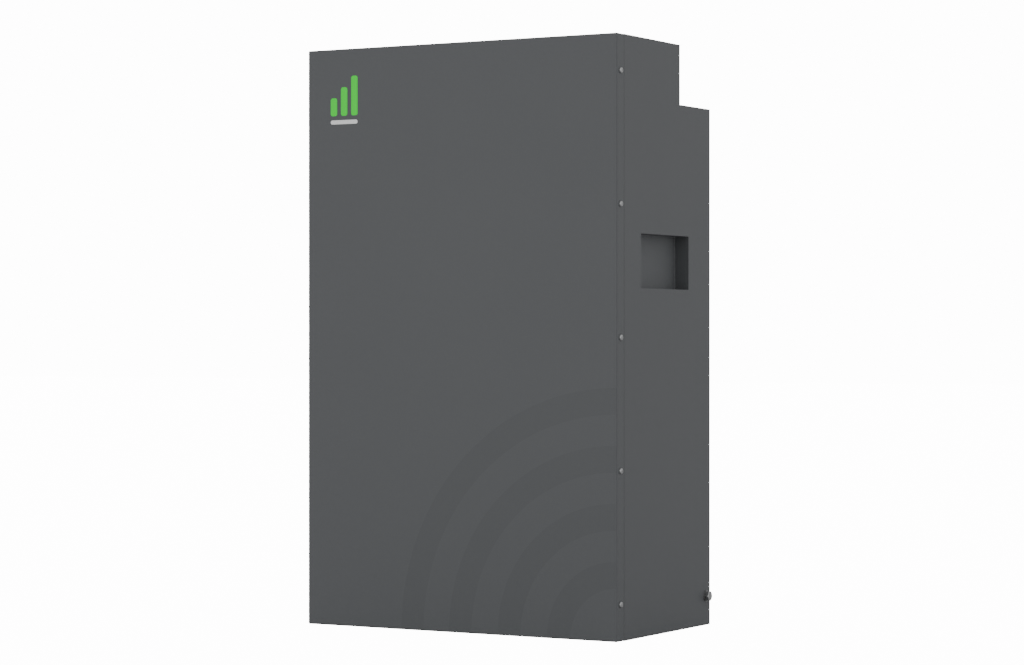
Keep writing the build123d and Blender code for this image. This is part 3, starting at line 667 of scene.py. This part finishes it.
class CABINET_OT_switches(CabinetStep):
    """Finish the breaker, its lever, the power button and the data sockets"""
    bl_idname = "cabinet.switches"
    bl_label = "Switches and Sockets"

    def make(self, scene):
        plastics, metals = scene.cabinet_plastics, scene.cabinet_metals
        self.breaker(plastics)
        dress(moulding("lever_black", plastics.black, 0.42), "breaker_lever")
        dress(metal("button_steel", metals.zinc, 0.22, 0.002, 0.000004, 0.2), "power_button_body")
        self.button(plastics)
        dress(moulding("socket_black", plastics.black, 0.4), "comm_sockets")
        self.contacts(metals)

    def breaker(self, plastics):
        """Grey case with a line and a ring beside the lever, for on and off."""
        low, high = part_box("breaker_case")
        made, t, shader = new_material("breaker_grey")
        _, x, y, z = t.place()
        middle = (low.x + high.x) / 2
        row = (low.y + high.y) / 2
        beside = 0.0175
        line = use(t, "Rounded Bar", ("Mask",), Across=x, Up=y, Middle_Across=middle + beside, Middle_Up=row,
                   Half_Width=0.0009, Half_Height=0.0035, Corner=0.0004)
        ring = use(t, "Ring Band", ("Mask",), Across=x, Up=y, Middle_Across=middle - beside, Middle_Up=row,
                   Radius=0.003, Width=0.0012)
        marks = t.math("MULTIPLY", t.math("MAXIMUM", line, ring), t.printed(z, high.z))
        finish_surface(t, shader, t.mix(marks, solid(plastics.grey), solid(INK)), 0.5, 0.0009, 0.00001, 0.08)
        dress(made, "breaker_case")

    def button(self, plastics):
        """Green cap with the usual broken ring and line."""
        low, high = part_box("power_button_cap")
        made, t, shader = new_material("button_green")
        _, x, y, z = t.place()
        place = dict(Across=x, Up=y, Middle_Across=(low.x + high.x) / 2)
        middle = (low.y + high.y) / 2
        ring = use(t, "Ring Band", ("Mask",), Middle_Up=middle, Radius=0.0032, Width=0.0008, **place)
        gap = use(t, "Rounded Bar", ("Mask",), Middle_Up=middle + 0.003, Half_Width=0.0013, Half_Height=0.002,
                  Corner=0.0002, **place)
        line = use(t, "Rounded Bar", ("Mask",), Middle_Up=middle + 0.0026, Half_Width=0.0004, Half_Height=0.0018,
                   Corner=0.0003, **place)
        sign = t.math("MAXIMUM", t.math("MULTIPLY", ring, t.math("SUBTRACT", 1.0, gap)), line)
        sign = t.math("MULTIPLY", sign, t.printed(z, high.z))
        tone = t.mix(sign, solid(plastics.green), solid(plastics.legend))
        finish_surface(t, shader, tone, 0.35, 0.0012, 0.000006, 0.05)
        dress(made, "power_button_cap")

    def contacts(self, metals):
        """Eight sprung contacts in a row in each data socket, with bent and narrowed tips."""
        count, pitch, back, depth = 8, 0.00102, 0.0026, 0.0075
        width, thick, tall = 0.00045, 0.0004, 0.008
        pins = []
        for low, high in islands("comm_sockets"):
            middle = (low + high) / 2
            for n in range(count):
                x = middle.x + (n - (count - 1) / 2) * pitch
                pin = begin("cube", "contact", (x, middle.y + back, high.z - depth), size=1)
                pin.scale = (width, thick, tall)
                settle(pin)
                pick(pin, faces=lambda f: f.normal.z > 0.9)
                bpy.ops.transform.translate(value=(0, 0.0011, 0))
                bpy.ops.mesh.inset(thickness=0.00008)
                bpy.ops.transform.translate(value=(0, 0, 0.0001))
                leave()
                pins.append(pin)
        contacts = join("socket_contacts", pins)
        gold = metal("contact_gold", metals.gold, 0.22, 0.001, 0.000002, 0.1)
        hand_over(contacts, "cabinet", "brass_insert", gold)


class CABINET_OT_pack(CabinetStep):
    """Finish the cells, insulators, seal, boards, fuse and cables inside the case"""
    bl_idname = "cabinet.pack"
    bl_label = "Battery Pack"

    def make(self, scene):
        plastics, metals = scene.cabinet_plastics, scene.cabinet_metals
        self.cells(plastics, metals)
        dress(moulding("card", plastics.card, 0.7), "cell_separators", "centre_divider", "busbar_carriers")
        dress(moulding("seal_foam", INK, 0.9, 0.0006, 0.0001), "cover_gasket")
        dress(moulding("sheath", plastics.sheath, 0.55, 0.0015, 0.00002), "power_cables")
        self.boards(plastics)
        self.fuse(plastics, metals)

    def cells(self, plastics, metals):
        """Film round the can, bare metal on the terminal pads."""
        low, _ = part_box(CELLS[0])
        made, t, shader = new_material("cell_wrap")
        _, _, y, _ = t.place()
        pad = 0.0024
        bare = t.ramp(y, low.y + pad - 0.0001, low.y + pad, 1.0, 0.0)
        tone = t.mix(bare, solid(plastics.wrap), solid(metals.aluminium))
        finish_surface(t, shader, tone, 0.38, 0.004, 0.00002, 0.12)
        t.set(shader["Metallic"], bare)
        dress(made, *CELLS)

    def boards(self, plastics):
        """Solder mask on the boards, black bodies on what stands proud of them."""
        thin, thick = 0.0017, 0.0019
        for node in ("bms_board", "comm_board"):
            low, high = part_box(node)
            made, t, shader = new_material(node + "_mask")
            _, _, y, z = t.place()
            if node == "bms_board":
                proud = t.ramp(y, high.y - thick, high.y - thin, 1.0, 0.0)
            else:
                proud = t.ramp(z, low.z + thin, low.z + thick)
            tone = t.mix(proud, solid(plastics.board), solid(plastics.chip))
            finish_surface(t, shader, tone, 0.35, 0.002, 0.00001, 0.1)
            dress(made, node)

    def fuse(self, plastics, metals):
        """White tube and base, with metal tabs."""
        low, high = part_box("main_fuse")
        made, t, shader = new_material("fuse_body")
        _, x, y, _ = t.place()
        away = t.math("ABSOLUTE", t.math("SUBTRACT", x, (low.x + high.x) / 2))
        tube_end, tab_back, edge = 0.023, 0.012, 0.0001
        past_tube = t.ramp(away, tube_end - edge, tube_end + edge)
        before_base = t.ramp(y, high.y - tab_back - edge, high.y - tab_back + edge, 1.0, 0.0)
        tab = t.math("MULTIPLY", past_tube, before_base)
        finish_surface(t, shader, t.mix(tab, solid(plastics.ceramic), solid(metals.zinc)), 0.4, 0.002, 0.00001, 0.06)
        t.set(shader["Metallic"], tab)
        dress(made, "main_fuse")


# ---- Stage ------------------------------------------------------------------------------------------------
class CABINET_OT_stage(CabinetStep):
    """Lay the pale floor, light it and place the camera"""
    bl_idname = "cabinet.stage"
    bl_label = "Stage"

    def make(self, scene):
        stage = scene.cabinet_stage
        floor = begin("plane", "floor", (0, 0, cad_low.z), size=stage.floor_size)
        settle(floor)
        made, t, shader = new_material("floor_pale")
        finish_surface(t, shader, tuple(stage.floor), 0.8, 0.01, 0.00001, 0.005)
        shader["Emission Color"].default_value = (1, 1, 1, 1)
        t.set(shader["Emission Strength"], t.math("MULTIPLY", t.camera_ray(), stage.glare))
        floor.data.materials.append(made)
        world = bpy.data.worlds.new("surroundings")
        world.use_nodes = True
        t, sky = Tree(world.node_tree), world.node_tree.nodes["Background"].inputs
        sky[0].default_value = (1, 1, 1, 1)
        t.set(sky[1], t.ramp(t.camera_ray(), 0.0, 1.0, stage.sky, stage.glare))
        scene.world = world
        middle = (cad_low.z + cad_high.z) / 2
        low_down = middle * 0.35
        self.light("front_light", (-1.2, -4.2, low_down), middle, stage.key, stage)
        self.light("side_light", (4.4, 0.3, low_down), middle, stage.fill, stage)
        self.camera(scene, stage)

    def light(self, name, place, height, power, stage):
        """A square light that faces the cabinet's axis at a height."""
        deselect()
        bpy.ops.object.light_add(type="AREA", location=place)
        lamp = bpy.context.object
        lamp.name = name
        lamp.data.energy = power
        lamp.data.shape = "SQUARE"
        lamp.data.size = stage.lamp_size
        lamp.data.specular_factor = stage.lamp_gloss
        lamp.rotation_euler = (Vector((0, 0, height)) - Vector(place)).to_track_quat("-Z", "Y").to_euler()

    def camera(self, scene, stage):
        deselect()
        bpy.ops.object.camera_add(location=tuple(stage.eye), rotation=(math.pi / 2, 0, stage.turn))
        eye = bpy.context.object
        eye.name = "camera"
        eye.data.lens = stage.lens
        eye.data.sensor_width = 36
        eye.data.shift_y = stage.rise
        eye.data.dof.use_dof = False
        scene.camera = eye


STEPS = (CABINET_OT_groups, CABINET_OT_case, CABINET_OT_cover, CABINET_OT_screws, CABINET_OT_earth_bolt,
         CABINET_OT_metals, CABINET_OT_terminals, CABINET_OT_switches, CABINET_OT_pack, CABINET_OT_stage)
SETTINGS = {"cabinet_paint": CasePaint, "cabinet_print": FrontPrint, "cabinet_metals": Metals,
            "cabinet_plastics": Plastics, "cabinet_stage": Stage}


class VIEW3D_PT_cabinet(bpy.types.Panel):
    """Settings and steps of the cabinet's looks"""
    bl_idname = "VIEW3D_PT_cabinet"
    bl_label = "Battery Cabinet"
    bl_space_type = "VIEW_3D"
    bl_region_type = "UI"
    bl_category = "Cabinet"

    def draw(self, context):
        for key, group in SETTINGS.items():
            box = self.layout.box()
            for name in group.__annotations__:
                box.prop(getattr(context.scene, key), name)
        for step in STEPS:
            self.layout.operator(step.bl_idname)


def register():
    for made in (*SETTINGS.values(), *STEPS, VIEW3D_PT_cabinet):
        bpy.utils.register_class(made)
    for key, group in SETTINGS.items():
        setattr(bpy.types.Scene, key, bpy.props.PointerProperty(type=group))


def unregister():
    for key in SETTINGS:
        delattr(bpy.types.Scene, key)
    for made in reversed((*SETTINGS.values(), *STEPS, VIEW3D_PT_cabinet)):
        bpy.utils.unregister_class(made)


def main():
    register()
    for step in STEPS:
        area, name = step.bl_idname.split(".")
        getattr(getattr(bpy.ops, area), name)()


if __name__ == "__main__":
    main()
